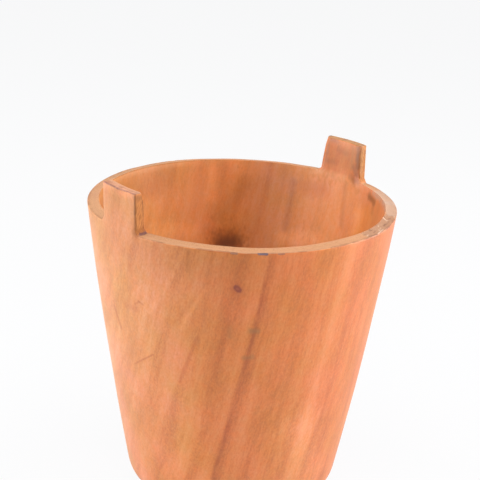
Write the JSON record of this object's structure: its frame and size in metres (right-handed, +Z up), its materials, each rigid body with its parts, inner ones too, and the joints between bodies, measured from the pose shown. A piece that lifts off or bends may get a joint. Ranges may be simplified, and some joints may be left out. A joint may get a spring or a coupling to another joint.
{
  "type": "wooden piggin",
  "caption": "Small tapered wooden pail hollowed from one block, with upright ears left on its rim as grips and a separate board pegged into its foot.",
  "frame": {"origin": "middle of the foot, on the surface that the pail stands on", "axes": "+Z up along the pail's axis, X through the two ears, with the ear called left at -X"},
  "size_m": [0.2058, 0.1996, 0.2252],
  "materials": {
    "carved_wood": "oiled satin, long open grain",
    "base_board": "oiled satin, flat-sawn board",
    "peg_wood": "end grain, trimmed flush"
  },
  "bodies": {
    "root": {"body": "carved_wood", "base_disc": "base_board", "base_pegs": "peg_wood"}
  },
  "joints": []
}
